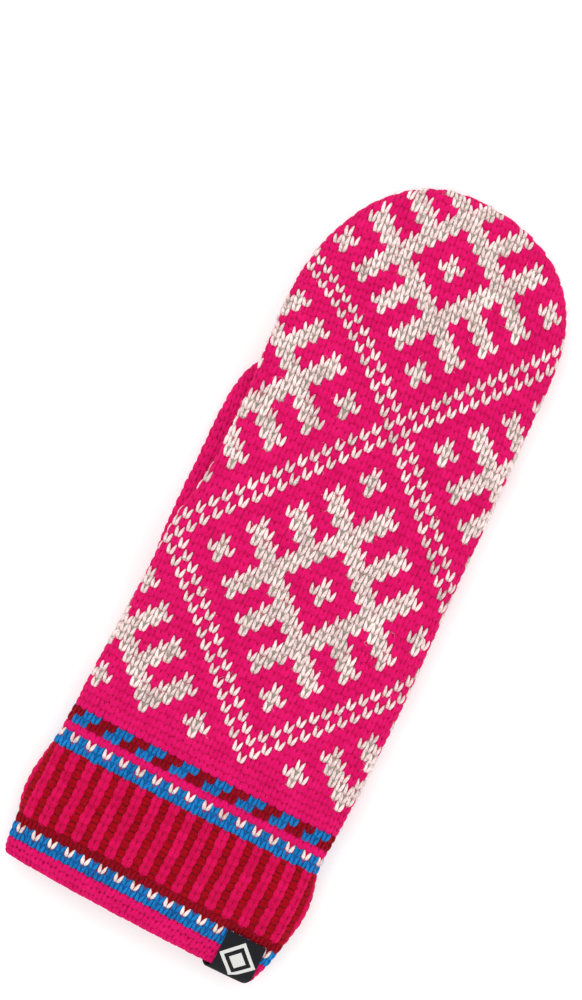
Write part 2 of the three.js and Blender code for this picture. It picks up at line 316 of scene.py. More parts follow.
hand_left, hand_right, hand_height, row_slope, row_arch = (
    Curve(SECTIONS, column) for column in ("left", "right", "height", "slope", "arch")
)
thumb_left = Curve(THUMB_SECTIONS, "left")
thumb_right = Curve(THUMB_SECTIONS, "right")
middle_column = Curve(ROWS, "middle", by="row")
back_pitch = Curve(ROWS, "pitch", by="row")


def unit(vectors):
    """The same directions with length 1."""
    return vectors / np.maximum(np.linalg.norm(vectors, axis=-1, keepdims=True), 1e-9)


def fade(x, low, high):
    """0 up to low, 1 from high, and smooth in between."""
    t = np.clip((x - low) / (high - low), 0, 1)
    return t * t * (3 - 2 * t)


def closing(v, power, root):
    """A quarter of an oval, from 1 down to 0 as v goes from 0 to 1."""
    return (1 - np.clip(v, 0, 1) ** power) ** root


def over_thumb(x, along, start, full, leaving, gone, side, level):
    """1 over the thumb, fading to 0 beyond its root, its tip and its inner side."""
    lengthwise = fade(along, start, full) * (1 - fade(along, leaving, gone))
    return lengthwise * (1 - fade(x, side, level))


def oval(angle):
    """One point round an oval: across and up are from -1 to 1, up flattened below."""
    c, s = np.cos(angle), np.sin(angle)
    across = np.sign(c) * np.abs(c) ** (2 / OVAL_ACROSS)
    up = np.abs(s) ** (2 / OVAL_UP)
    return across, np.where(s < 0, -np.minimum(1, FLATTEN * up), up)


def between(bottom, top, up):
    """A height between a floor and a roof, whose fold lies a little under the middle."""
    part = np.where(up < 0, FOLD_AT * (1 + up), FOLD_AT + (1 - FOLD_AT) * up)
    return bottom + (top - bottom) * part


def stray(along, x):
    """How far a row of stitches has strayed along by the time it reaches x."""
    off = x - SPINE_X
    return row_slope(along) * off - row_arch(along) * off * off


def outline_x(side, inward, power, along, inset):
    """Where the outline lies on one side, at the place where a row meets it."""

    def at(y):
        v = (y - TIP_START) / (LENGTH - inset - TIP_START)
        return TIP_X + (side(y) + inward * inset - TIP_X) * closing(v, power, TIP_ROOT)

    return at(along + stray(along, at(along)))


def hand_sides(along, inset):
    left = outline_x(hand_left, 1, TIP_LEFT_POWER, along, inset)
    right = outline_x(hand_right, -1, TIP_RIGHT_POWER, along, inset)
    return left, right


def hand_floor_and_roof(x, along, inset):
    v = np.clip((along - TIP_START) / (LENGTH - inset - TIP_START), 0, 1)
    rise = TIP_RISE * v**TIP_RISE_POWER
    shrink = closing(v, TIP_HEIGHT_POWER, TIP_ROOT)
    palm_lift = PALM_LIFT * over_thumb(x, along, **PALM_CLIMB)
    back_lift = BACK_LIFT * over_thumb(x, along, **BACK_CLIMB)
    floor = np.maximum(0, palm_lift + rise + inset * shrink)
    roof = back_lift + rise + (hand_height(along) - inset) * shrink
    return floor, roof


def hand_point(along, angle, inset):
    """A point of the hand and cuff, at an angle round the section."""
    left, right = hand_sides(along, inset)
    across, up = oval(angle)
    x = (left + right) / 2 + (right - left) / 2 * across
    floor, roof = hand_floor_and_roof(x, along, inset)
    return np.stack([x, along + stray(along, x), between(floor, roof, up)], -1)


def hand_underside(x, along):
    """How high the palm's outer face is above a place on the ground."""
    left, right = hand_sides(along, 0)
    across = np.clip((2 * x - left - right) / (right - left), -1, 1)
    up = -np.minimum(1, FLATTEN * (1 - np.abs(across) ** OVAL_ACROSS) ** (1 / OVAL_UP))
    floor, roof = hand_floor_and_roof(x, along, 0)
    return between(floor, roof, up)


def thumb_point(along, angle, inset):
    """A point of the thumb, in the same way."""
    v = (along - THUMB_TAPER_START) / (THUMB_END - inset - THUMB_TAPER_START)
    left_shrink = closing(v, THUMB_LEFT_POWER, THUMB_OVAL_ROOT)
    right_shrink = closing(v, THUMB_RIGHT_POWER, THUMB_RIGHT_ROOT)
    left = THUMB_TIP_X + (thumb_left(along) + inset - THUMB_TIP_X) * left_shrink
    right = THUMB_TIP_X + (thumb_right(along) - inset - THUMB_TIP_X) * right_shrink
    across, up = oval(angle)
    x = (left + right) / 2 + (right - left) / 2 * across
    rise = THUMB_TIP_RISE * np.clip(v, 0, 1) ** THUMB_RISE_POWER
    height = (THUMB_HEIGHT - 2 * inset) * closing(v, THUMB_HEIGHT_POWER, THUMB_OVAL_ROOT)
    z = between(rise + inset, rise + inset + height, up)
    return np.stack([x, along + 0 * x, z], -1)


def angle_across(along, x, inset):
    """The angle at which the back of a section reaches a given x."""
    left, right = hand_sides(along, inset)
    across = np.clip((2 * x - left - right) / (right - left), -1, 1)
    return np.arccos(np.sign(across) * np.abs(across) ** (OVAL_ACROSS / 2))


def rings(point_at, along, inset, count):
    """Points at equal steps round each section, from the top clockwise as seen from the cuff."""
    angle = math.pi / 2 - np.linspace(0, 2 * math.pi, MEASURES + 1)
    outline = point_at(along[:, None], angle[None], inset[:, None])
    steps = np.linalg.norm(np.diff(outline, axis=1), axis=2)
    run = np.concatenate([np.zeros((len(along), 1)), np.cumsum(steps, axis=1)], axis=1)
    places = np.empty((len(along), count, 3))
    for i, distance in enumerate(run):
        targets = distance[-1] * np.arange(count) / count
        for axis in range(3):
            places[i, :, axis] = np.interp(targets, distance, outline[i, :, axis])
    return places, run


class Fabric:
    """Where the stitches lie: rows run round the piece, columns along it.

    Distances round a row start from the middle of the back, with the right fold first.
    """

    def __init__(self, point_at, path, middle, columns, first, last, tip_row):
        self.columns = columns
        self.first = first
        self.middle = middle
        self.ribbed = False
        self.rows = np.arange(first, last + ROW_STEP / 2, ROW_STEP)
        self.count = len(self.rows)
        self.points, run = rings(point_at, *path(self.rows), SAMPLES)
        self.round = run[:, -1]
        quarter = MEASURES // 4
        self.right_fold = run[:, quarter]
        self.under = run[:, 2 * quarter]
        self.left_fold = run[:, 3 * quarter]
        self.tip = int((tip_row - first) / ROW_STEP)
        around = np.roll(self.points, -1, axis=1) - np.roll(self.points, 1, axis=1)
        self.normals = unit(np.cross(around, np.gradient(self.points, axis=0)))
        self.share_columns(self.round / columns)

    def share_columns(self, back_pitch):
        """Sets how wide the back's columns are. The palm's share what is left of the round."""
        self.back_pitch = back_pitch
        self.right = self.right_fold / back_pitch
        self.left = (self.round - self.left_fold) / back_pitch
        palm_columns = self.columns - self.right - self.left
        self.palm_pitch = (self.left_fold - self.right_fold) / palm_columns
        palm_to_middle = (self.under - self.right_fold) / self.palm_pitch
        self.under_column = self.right[self.tip] + palm_to_middle[self.tip]

    def centred(self, row, column):
        """The column counted from the middle of the back, with the left fold as the seam."""
        seam = self.left[self.tip]
        return (column - self.middle(row) + seam) % self.columns - seam

    def on_back(self, k):
        return k <= self.right[self.tip]

    def nearest(self, row):
        return np.clip(np.round((row - self.first) / ROW_STEP).astype(int), 0, self.count - 1)

    def arc(self, k, back, index):
        """How far round a row column k lies."""
        right, left = self.right[index], self.left[index]
        wide, narrow = self.back_pitch[index], self.palm_pitch[index]
        on_palm = np.maximum(k - right, 0) - np.maximum(-left - k, 0)
        back_again = np.maximum(k - (self.columns - left), 0)
        knitted = wide * np.clip(k, -left, right) + narrow * on_palm + (wide - narrow) * back_again
        return np.where(index > self.tip, self.straight(k, back, index), knitted)

    def straight(self, k, back, index):
        """The same beyond the tip's start, where the columns run straight into the outline."""
        right, left = self.right_fold[index], self.left_fold[index]
        lap = np.minimum(FOLD_LAP, right / 2)
        on_palm = self.under[index] + (k - self.under_column) * self.palm_pitch[self.tip]
        on_palm = np.clip(on_palm, right - lap, left + lap)
        on_back = k * self.back_pitch[self.tip]
        on_back = np.clip(on_back, left - self.round[index] - lap, right + lap)
        return np.where(back, on_back, on_palm)

    def columns_at(self, row, count):
        """The columns at equal steps round a row."""
        i = self.nearest(row)
        s = self.round[i] * np.arange(count) / count
        right, left = self.right_fold[i], self.left_fold[i]
        if i <= self.tip:
            there = [0, self.right[i], self.columns - self.left[i], self.columns]
            return np.interp(s, [0, right, left, self.round[i]], there) + self.middle(row)
        on_back = np.where(s > left, s - self.round[i], s) / self.back_pitch[self.tip]
        on_palm = self.under_column + (s - self.under[i]) / self.palm_pitch[self.tip]
        return np.where((s > right) & (s < left), on_palm, on_back) + self.middle(row)

    def shows(self, row, column):
        """Whether a stitch has its middle inside the outline, which the tip narrows."""
        index = self.nearest(row)
        k = self.centred(row, column)
        back = self.on_back(k)
        s = self.arc(k, back, index)
        right, left = self.right_fold[index], self.left_fold[index]
        spare = FOLD_SPARE * self.back_pitch[index]
        inside_back = (s < right + spare) & (s > left - self.round[index] - spare)
        inside_palm = (s > right + spare) & (s < left - spare)
        return np.where(index > self.tip, np.where(back, inside_back, inside_palm), True)

    def place(self, row, column, across, up, height):
        """Points some columns across, rows up and millimetres off the middles of stitches."""
        k = self.centred(row, column)
        back = self.on_back(k)
        k = k + across + self.middle(row) - self.middle(row + up)
        just_before_last = self.count - 1.001
        at = np.clip((row + up - self.first) / ROW_STEP, 0, just_before_last)
        low = at.astype(int)
        point = np.zeros(at.shape + (3,))
        normal = np.zeros(at.shape + (3,))
        for index, weight in ((low, low + 1 - at), (low + 1, at - low)):
            j = (self.arc(k, back, index) / np.maximum(self.round[index], 1e-6) % 1) * SAMPLES
            here = j.astype(int) % SAMPLES
            for sample, share in ((here, 1 - j % 1), ((here + 1) % SAMPLES, j % 1)):
                point += (weight * share)[..., None] * self.points[index, sample]
                normal += (weight * share)[..., None] * self.normals[index, sample]
        return point + unit(normal) * height[..., None]


def cuff_path(rows):
    """The fabric's way up the mitten: from inside the hem, round its fold and up the outside."""
    turn_radius = HEM_WALL / 2 - YARN_DEPTH
    run = np.maximum(0, (TURN_ROW - rows) * TURN_PITCH)
    turn = np.minimum(run / turn_radius, math.pi)
    inside = np.maximum(0, run - math.pi * turn_radius)
    outside = np.maximum(np.interp(rows, ROWS["row"], ROWS["along"]), HEM_TURN)
    outside = np.minimum(outside, LENGTH - YARN_DEPTH - JOIN)
    along = np.where(run > 0, HEM_TURN - turn_radius * np.sin(turn) + inside, outside)
    inset = np.where(run > 0, HEM_WALL / 2 - turn_radius * np.cos(turn), YARN_DEPTH)
    return along, inset


def thumb_path(rows):
    along = np.minimum(THUMB_ROOT + THUMB_ROW * rows, THUMB_END - YARN_DEPTH - JOIN)
    return along, np.full(len(rows), YARN_DEPTH)


def row_at(along):
    return np.interp(along, ROWS["along"], ROWS["row"])


# The stitch pattern


def snowflakes(row, column):
    """True where the chart has natural wool: flakes in a double-lined lattice."""
    half = REPEAT // 2
    dx = (column + half) % REPEAT - half
    dy = (row + half) % REPEAT - half
    other = np.abs(dx) + np.abs(dy) > half
    dx = np.where(other, dx - np.sign(dx) * half, dx)
    dy = np.where(other, dy - np.sign(dy) * half, dy)
    x, y = np.abs(dx), np.abs(dy)
    u, v = np.abs(dx + dy), np.abs(dx - dy)
    whole = (u <= FLAKE_END) & (v <= FLAKE_END)
    bars = ((u >= BAR_FROM) & (u <= BAR_TO)) | ((v >= BAR_FROM) & (v <= BAR_TO))
    arms = ((v <= 1) & (u >= BAR_TO)) | ((u <= 1) & (v >= BAR_TO))
    dots = (x + y <= 1) | (np.abs(x - DOT_AT) + y <= 1) | (x + np.abs(y - DOT_AT) <= 1)
    lattice = x + y == half - 1
    return whole & (bars | arms) | dots | lattice


def yarn_at(row, column):
    """Which yarn each stitch is knitted in."""
    fourth = column % 4
    even = column % 2 == 0
    bands = {
        -19: np.where(column % 6 == 0, WHITE, PINK),
        -23: np.where(np.isin(fourth, (0, 3)), BLUE, RED),
        -24: np.where(np.isin(fourth, (2, 3)), BLUE, RED),
        -26: np.where(even, BLUE, WHITE),
        -27: BLUE,
        -36: RED,
        -37: np.where(even, WHITE, BLUE),
        -38: BLUE,
    }
    yarn = np.where((row >= CHART_ROW) & snowflakes(row, column), WHITE, PINK)
    for band_row, band in bands.items():
        yarn = np.where(row == band_row, band, yarn)
    ribbed = (row >= RIB_FIRST) & (row <= RIB_LAST)
    return np.where(ribbed, np.where(even, RIB_PINK, RIB_RED), yarn)


def yarn_between(row, column):
    """The yarn seen between the legs of a stitch. Under a natural one it is the next row's."""
    row, column = np.round(row), np.round(column)
    here = yarn_at(row, column)
    return np.where(here == WHITE, yarn_at(row + 1, column), here)


def rib_relief(row, column):
    """How far the rib's knitted columns stand out, and its purled ones lie back."""
    begun = fade(row, RIB_FIRST - RIB_FADE_OUTSIDE, RIB_FIRST + RIB_FADE_INSIDE)
    ended = fade(row, RIB_LAST - RIB_FADE_INSIDE, RIB_LAST + RIB_FADE_OUTSIDE)
    return RIB_RELIEF * (begun * (1 - ended)) * np.cos(math.pi * column)


# Meshes


def joined(name, points, faces, values):
    """One mesh of many equal small shapes: points has a row for each copy."""
    copies, each = points.shape[:2]
    mesh = bpy.data.meshes.new(name)
    mesh.vertices.add(copies * each)
    mesh.vertices.foreach_set("co", (points * MM).astype(np.float32).ravel())
    corners = np.concatenate([np.array(face) for face in faces])
    starts = np.cumsum([0] + [len(face) for face in faces[:-1]])
    copy = np.arange(copies)[:, None]
    all_corners = (corners[None] + each * copy).ravel()
    all_starts = (starts[None] + len(corners) * copy).ravel()
    mesh.loops.add(len(all_corners))
    mesh.loops.foreach_set("vertex_index", all_corners.astype(np.int32))
    mesh.polygons.add(len(all_starts))
    mesh.polygons.foreach_set("loop_start", all_starts.astype(np.int32))
    mesh.update(calc_edges=True)
    for attribute, value in values.items():
        layer = mesh.attributes.new(attribute, "FLOAT", "POINT")
        layer.data.foreach_set("value", value.astype(np.float32).ravel())
    mesh.shade_smooth()
    return add_object(name, mesh)


def add_object(name, mesh):
    thing = bpy.data.objects.new(name, mesh)
    bpy.context.scene.collection.objects.link(thing)
    return thing


def ball(sides, levels):
    """A unit ball's points and faces, which the yarn shapes stretch."""
    bm = bmesh.new()
    bmesh.ops.create_uvsphere(bm, u_segments=sides, v_segments=levels, radius=1)
    bm.verts.index_update()
    points = np.array([v.co for v in bm.verts])
    faces = [[v.index for v in face.verts] for face in bm.faces]
    bm.free()
    return points, faces


# The shape of one stitch, in columns across, rows up and millimetres off the fabric,
# and how far it dips under its neighbours, up to 1, where the wool gets painted shade
Stitch = namedtuple("Stitch", "across up height bury faces")


def knit_stitch(half_width, half_depth, foot=0.1, head=0.36, low=-0.62, high=0.56, taper=0.35):
    """The V of a knitted stitch: two legs that lean apart, thickest near their foot."""
    points, faces = ball(LEG_SIDES, LEG_LEVELS)
    side, depth, run = points.T
    t = (run + 1) / 2
    size = np.hypot(side, depth)
    fuller = np.maximum(size, LEG_LEAST) ** LEG_FULLNESS
    lean = math.atan2((head - foot) * COLUMN_MM, (high - low) * ROW_MM)
    wide = side * fuller * half_width * (LEG_FOOT - taper * t)
    across = foot + (head - foot) * t**LEG_BEND + wide * math.cos(lean) / COLUMN_MM
    up = low + (high - low) * t - wide * math.sin(lean) / ROW_MM
    crest = LEG_CREST - LEG_DROP * (2 * t - LEG_CREST_AT) ** 2
    height = crest - depth * fuller * half_depth
    # painted shade: marks the legs' ends, where they dip under their neighbours, for darkening
    bury = np.abs(2 * t - 1) ** 2
    legs = [np.concatenate([across, -across]), *(np.tile(part, 2) for part in (up, height, bury))]
    mirrored = [[i + len(points) for i in reversed(face)] for face in faces]
    return Stitch(*legs, faces + mirrored)


def purl_stitch(half_length=0.66, arch=0.05, apart=0.25, half_width=1.0, half_depth=0.34):
    """The two low bars of a purled stitch, one bowed up and one bowed down."""
    points, faces = ball(LEG_SIDES, LEG_LEVELS)
    side, depth, run = points.T
    bow = arch * (1 - run**2)
    thick = side * half_width / ROW_MM
    across = np.tile(run * half_length, 2)
    up = np.concatenate([apart + bow + thick, -apart - bow + thick])
    height = np.tile(depth * half_depth + BAR_CREST * (1 - run**2), 2)
    shifted = [[i + len(points) for i in face] for face in faces]
    # painted shade: marks the bars' ends, where they dip under, for darkening
    return Stitch(across, up, height, np.tile(np.abs(run) ** 2, 2), faces + shifted)


rng = np.random.default_rng(36)


def stitches(name, fabric, stitch, row, column, base=0.0):
    """Knits one stitch at each row and column, none quite like its neighbour."""
    count = len(row)
    row = row + rng.normal(0, ROW_SPREAD, count)
    drift = rng.normal(0, DRIFT_SPREAD, count)
    size = rng.normal(1, SIZE_SPREAD, count)
    tilt = rng.normal(0, TILT_SPREAD, count)
    lift = base + rng.normal(0, LIFT_SPREAD, count)
    across = stitch.across[None] * size[:, None] + drift[:, None]
    up = stitch.up[None] + tilt[:, None] * stitch.across[None]
    row, column = row[:, None], column[:, None]
    relief = rib_relief(row + up, column + across) if fabric.ribbed else 0
    height = stitch.height[None] + lift[:, None] + relief
    points = on_the_ground(fabric.place(row, column, across, up, height))
    shade = np.repeat(rng.normal(0, SHADE_SPREAD, count)[:, None], len(stitch.up), axis=1)
    bury = np.repeat(stitch.bury[None], count, axis=0)
    return joined(name, points, stitch.faces, {"shade": shade, "bury": bury})


def on_the_ground(points):
    """The points kept above the ground, and counted from the middle of the length."""
    points[..., 2] = np.maximum(points[..., 2], GROUND)
    points[..., 1] -= LENGTH / 2
    return points


def fibres(name, fabric, row, column, count):
    """Fine loose ends of wool that stand off the stitches and curl over."""
    pick = rng.integers(0, len(row), count)
    spread = rng.uniform(-0.5, 0.5, (2, count, 1))
    row, column = row[pick][:, None], column[pick][:, None]
    heading = rng.uniform(0, 2 * math.pi, (count, 1))
    length = rng.uniform(*FIBRE_LENGTH, (count, 1))
    stand = rng.uniform(*FIBRE_STAND, (count, 1))
    t = np.linspace(0, 1, FIBRE_STEPS + 1)[None]
    curl = heading + rng.normal(0, FIBRE_CURL, (count, 1)) * t
    across = spread[0] + length * t * np.cos(curl) / COLUMN_MM
    up = spread[1] + length * t * np.sin(curl) / ROW_MM
    height = FIBRE_ROOT + stand * np.sin(0.5 * math.pi * t)
    middle = fabric.place(row, column, across, up, height)
    whole = np.linalg.norm(np.diff(middle, axis=1), axis=2).min(axis=1) > FIBRE_LEAST_STEP
    middle = middle[whole]
    along = unit(np.gradient(middle, axis=1))
    side = unit(np.cross(along, FIBRE_ASIDE))
    other = np.cross(along, side)
    thick = FIBRE_RADIUS * (1 - FIBRE_TAPER * t)[..., None]
    corners = [
        middle + thick * (math.cos(turn) * side + math.sin(turn) * other)
        for turn in 2 * math.pi * np.arange(FIBRE_SIDES) / FIBRE_SIDES
    ]
    points = on_the_ground(np.stack(corners, axis=2).reshape(len(middle), -1, 3))
    flat = np.zeros(points.shape[:2])
    return joined(name, points, fibre_faces(), {"shade": flat, "bury": flat})


def fibre_faces():
    """The two ends and the sides of one fibre."""
    last = FIBRE_SIDES * FIBRE_STEPS
    faces = [list(range(FIBRE_SIDES))[::-1], list(range(last, last + FIBRE_SIDES))]
    for step in range(FIBRE_STEPS):
        for corner in range(FIBRE_SIDES):
            here = FIBRE_SIDES * step + corner
            beside = FIBRE_SIDES * step + (corner + 1) % FIBRE_SIDES
            faces.append([here, beside, beside + FIBRE_SIDES, here + FIBRE_SIDES])
    return faces


def shell(name, point_at, profile, around, fabric=None):
    """A closed skin: a profile of [along, inset] pairs carried round the section."""
    along, inset = np.array(profile, float).T
    places, _ = rings(point_at, along, inset, around)
    colours = np.tile(BED_COLOURS[PINK], (len(profile), around, 1))
    if fabric:
        places, colours = patterned(places, fabric, along, inset)
    places[..., 1] -= LENGTH / 2
    return closed_skin(name, places, colours)


def patterned(places, fabric, along, inset):
    """The rings with the rib's relief on their outside, and the colours of the yarns there."""
    around = places.shape[1]
    row = row_at(along)[:, None]
    column = np.array([fabric.columns_at(each[0], around) for each in row])
    outer = np.broadcast_to((inset < WALL / 2)[:, None], column.shape)
    stitched = outer & fabric.shows(np.round(row), np.round(column))
    colours = BED_COLOURS[np.where(stitched, yarn_between(row, column), PINK)]
    return pushed_out(places, rib_relief(row, column) * outer), colours


def pushed_out(places, height):
    """Moves the points of each ring outwards from the section by a height."""
    around = np.roll(places, -1, axis=1) - np.roll(places, 1, axis=1)
    outwards = np.cross(around, (0.0, 1.0, 0.0))
    return places + unit(outwards) * height[..., None]


def closed_skin(name, places, colours):
    """A mesh from rings of points, with a colour at each point and its ends filled."""
    levels, around = places.shape[:2]
    bm = bmesh.new()
    bmesh.ops.create_grid(bm, x_segments=around, y_segments=levels - 1, size=1)
    column, level = grid_steps(bm, around, levels - 1)
    column = column % around
    tint = bm.verts.layers.float_color.new("knitted")
    for vert, place, colour in zip(bm.verts, places[level, column] * MM, colours[level, column]):
        vert.co = place
        vert[tint] = colour
    bmesh.ops.remove_doubles(bm, verts=bm.verts, dist=1e-6)
    bmesh.ops.dissolve_degenerate(bm, edges=bm.edges, dist=1e-7)
    bmesh.ops.holes_fill(bm, edges=[edge for edge in bm.edges if edge.is_boundary], sides=0)
    bmesh.ops.recalc_face_normals(bm, faces=bm.faces)
    return add_object(name, mesh_of(name, bm))


def grid_steps(bm, across, up):
    """How many steps across and up each point of a new grid lies."""
    grid = np.array([vert.co for vert in bm.verts])
    steps = np.round((grid[:, :2] + 1) / 2 * (across, up)).astype(int)
    return steps.T


def mesh_of(name, bm):
    """The finished mesh of a bmesh, which it ends."""
    mesh = bpy.data.meshes.new(name)
    bm.to_mesh(mesh)
    bm.free()
    mesh.shade_smooth()
    return mesh


def crowded(start, end, count, crowd):
    """Stations from start to end, closer together towards the end."""
    t = np.linspace(0, 1, count + 1)
    return start + (end - start) * (1 - (1 - t) ** crowd)


# Yarn and tape finishes


class Signal:
    """A number that varies over a surface: sums and products with it add Math nodes."""

    def __init__(self, finish, socket):
        self.finish = finish
        self.socket = socket

    def output(self, name):
        """Another output of the node that this number comes from."""
        return Signal(self.finish, self.socket.node.outputs[name])

    def combine(self, operation, first, second=0.0):
        return self.finish.node("Math", {"operation": operation}, {0: first, 1: second})

    def __add__(self, other):
        return self.combine("ADD", self, other)

    def __radd__(self, other):
        return self.combine("ADD", other, self)

    def __sub__(self, other):
        return self.combine("SUBTRACT", self, other)

    def __rsub__(self, other):
        return self.combine("SUBTRACT", other, self)

    def __mul__(self, other):
        return self.combine("MULTIPLY", self, other)

    def __rmul__(self, other):
        return self.combine("MULTIPLY", other, self)

    def __lt__(self, other):
        return self.combine("LESS_THAN", self, other)

    def __gt__(self, other):
        return self.combine("GREATER_THAN", self, other)

    def sine(self):
        return self.combine("SINE", self)

    def size(self):
        return self.combine("ABSOLUTE", self)


class Finish:
    """A material being put together on a Principled shader."""

    # The Mix node's sockets for colours, which share their names with others
    MIX_LOW, MIX_HIGH, MIX_RESULT = 6, 7, 2

    def __init__(self, name, roughness):
        self.material = bpy.data.materials.new(name)
        self.material.use_nodes = True
        self.tree = self.material.node_tree
        self.shader = self.tree.nodes["Principled BSDF"]
        self.shader.inputs["Roughness"].default_value = roughness

    def node(self, kind, settings=None, inputs=None, output=0):
        """Adds a node, first its settings and then the values or links of its sockets."""
        node = self.tree.nodes.new("ShaderNode" + kind)
        for name, value in (settings or {}).items():
            setattr(node, name, value)
        for key, value in (inputs or {}).items():
            self.plug(node.inputs[key], value)
        return Signal(self, node.outputs[output])

    def plug(self, socket, value):
        if isinstance(value, Signal):
            self.tree.links.new(value.socket, socket)
        else:
            socket.default_value = value

    def blend(self, share, low, high, how="MIX"):
        """A colour between two colours, or their product."""
        settings = {"data_type": "RGBA", "blend_type": how}
        inputs = {"Factor": share, self.MIX_LOW: low, self.MIX_HIGH: high}
        return self.node("Mix", settings, inputs, self.MIX_RESULT)

    def attribute(self, name, output="Fac"):
        return self.node("Attribute", {"attribute_name": name}, None, output)

    def noise(self, place, scale, detail=2.0):
        return self.node("TexNoise", None, {"Vector": place, "Scale": scale, "Detail": detail})

    def colour(self, value):
        self.plug(self.shader.inputs["Base Color"], value)

    def bump(self, height, strength, distance):
        inputs = {"Strength": strength, "Distance": distance, "Height": height}
        self.plug(self.shader.inputs["Normal"], self.node("Bump", None, inputs))

    def set(self, values):
        for name, value in values.items():
            self.shader.inputs[name].default_value = value


def linear(red, green, blue):
    """A colour as a screen shows it, from 0 to 255, in the renderer's own scale."""
    def channel(value):
        v = value / 255
        return v / 12.92 if v <= 0.04045 else ((v + 0.055) / 1.055) ** 2.4

    return (channel(red), channel(green), channel(blue), 1.0)


# The bodies' colours under each yarn, in the order of the yarns.
# The one under natural wool is a grey well below the yarn's own colour: painted shade in the gaps
# between stitches.
BED_COLOURS = np.array([
    linear(200, 7, 85),
    linear(160, 154, 138),
    linear(22, 96, 160),
    linear(140, 5, 24),
    linear(190, 8, 66),
    # painted light: lighter than the dark red rows' body, against the shade in the rib's valleys
    linear(160, 5, 24),
])
BED_SHADOW = (0.78, 0.78, 0.78, 1.0)
DULL = {"Specular IOR Level": 0.04, "Sheen Weight": 0.03, "Sheen Roughness": 0.5}

# How the finishes vary: noise scales in waves a metre, shares of the darker shade, and bumps
MOTTLE_SCALE = 140.0
STRAND_SCALE = 1500.0
STRAND_DETAIL = 4.0
SHADE_START = 0.3
MOTTLE_SHADE = 0.8
STRAND_SHADE = 1.7
STRAND_BUMP = {"strength": 0.5, "distance": 0.0004}
SPOT_SCALE = 420.0
SPOT_DETAIL = 3.0
SPOT_BUMP = {"strength": 0.8, "distance": 0.001}
TAPE_BLACK = linear(30, 31, 35)
TAPE_NATURAL = linear(216, 215, 212)
TAPE_THREADS_ACROSS = 7000.0
TAPE_THREADS_ALONG = 9000.0
TAPE_BUMP = {"strength": 0.6, "distance": 0.0002}


def wool(name, light, dark, dip_shadow_strength):
    """Woollen yarn: painted shade, in its dark colour, where it dips under; uneven in tone at
    random and rough with fibres.
    """
    finish = Finish(name, roughness=0.9)
    place = finish.node("TexCoord", output="Object")
    shade = finish.attribute("shade")
    bury = finish.attribute("bury")
    mottle = finish.noise(place, MOTTLE_SCALE)
    strands = finish.noise(place, STRAND_SCALE, STRAND_DETAIL)
    uneven = STRAND_SHADE * (strands - 0.5) + MOTTLE_SHADE * (mottle - 0.5)
    # painted shade: the dark colour's share grows where the yarn dips under its neighbours
    depth = SHADE_START + dip_shadow_strength * bury + uneven + shade
    share = finish.node("Clamp", None, {"Value": depth})
    finish.colour(finish.blend(share, light, dark))
    finish.bump(strands, **STRAND_BUMP)
    finish.set(DULL)
    return finish.material


def bed(name):
    """The knitting's body under its stitches, in the colour of the yarn above it, with spots of
    painted shadow.
    """
    finish = Finish(name, roughness=0.95)
    place = finish.node("TexCoord", output="Object")
    knitted = finish.attribute("knitted", "Color")
    spots = finish.noise(place, SPOT_SCALE, SPOT_DETAIL)
    darker = finish.blend(1.0, knitted, BED_SHADOW, "MULTIPLY")
    finish.colour(finish.blend(spots, darker, knitted))
    finish.bump(spots, **SPOT_BUMP)
    finish.set(DULL)
    return finish.material


def woven_tape(name):
    """Black woven tape with a small natural lozenge woven into it."""
    finish = Finish(name, roughness=0.6)
    place = finish.node("UVMap", {"uv_map": "tape"})
    x = finish.node("SeparateXYZ", None, {"Vector": place})
    y = x.output("Y")
    threads = (x * TAPE_THREADS_ACROSS).sine() * (y * TAPE_THREADS_ALONG).sine()
    from_middle = (x - LABEL_WIDTH * MM / 2).size() + (y - LABEL_MARK_AT * MM).size()
    ring = (from_middle < MARK_RING * MM) * (from_middle > MARK_RING_INSIDE * MM)
    mark = ring + (from_middle < MARK_CORE * MM)
    finish.colour(finish.blend(mark, TAPE_BLACK, TAPE_NATURAL))
    finish.bump(threads, **TAPE_BUMP)
    finish.set(DULL)
    return finish.material


# The pieces


def straight_up(row):
    """The middle column of a piece whose columns don't drift."""
    return 0.0 * row


hand_fabric = Fabric(
    hand_point, cuff_path, middle_column, COLUMNS, FIRST_ROW, LAST_ROW, row_at(TIP_START)
)
hand_fabric.share_columns(back_pitch(hand_fabric.rows))
hand_fabric.ribbed = True
thumb_last_row = (THUMB_END - THUMB_ROOT) / THUMB_ROW
thumb_tip_row = (THUMB_TAPER_START - THUMB_ROOT) / THUMB_ROW
thumb_fabric = Fabric(
    thumb_point, thumb_path, straight_up, THUMB_COLUMNS, 0.0, thumb_last_row, thumb_tip_row
)

# The stitches of the pink ground, of the other yarns, and of the rib's ridges and valleys
PLUMP = knit_stitch(1.05, 0.36, low=-0.66, high=0.6)
SLENDER = knit_stitch(0.82, 0.5, foot=0.12, head=0.4, low=-0.64, high=0.62, taper=0.62)
RIDGE = knit_stitch(1.15, 0.36, foot=0.22, head=0.38, low=-0.75, high=0.64)
BAR = purl_stitch()


def middles(fabric, row, column):
    """Where the middles of stitches lie."""
    flat = np.zeros(row.shape)
    return fabric.place(row, column, flat, flat, flat)


def every_stitch(rows, columns):
    """The row and the column of each stitch, row by row."""
    row, column = np.meshgrid(rows, columns, indexing="ij")
    return row.ravel().astype(float), column.ravel()


def hand_stitches():
    """The stitches of the hand and cuff, apart from those inside the thumb."""
    all_rows = np.arange(FIRST_STITCHES, LAST_STITCHES + 1)
    row, column = every_stitch(all_rows, np.arange(COLUMNS) - HALF_ROUND)
    shown = hand_fabric.shows(row, column)
    x, y, z = middles(hand_fabric, row, column).T
    in_length = (y > THUMB_ROOT) & (y < THUMB_SEAM)
    in_width = (x > thumb_left(y) + THUMB_EDGE) & (x < thumb_right(y) - THUMB_EDGE)
    in_height = (z > THUMB_FLOOR) & (z < THUMB_HEIGHT - GAP)
    keep = shown & ~(in_length & in_width & in_height)
    return row[keep], column[keep]


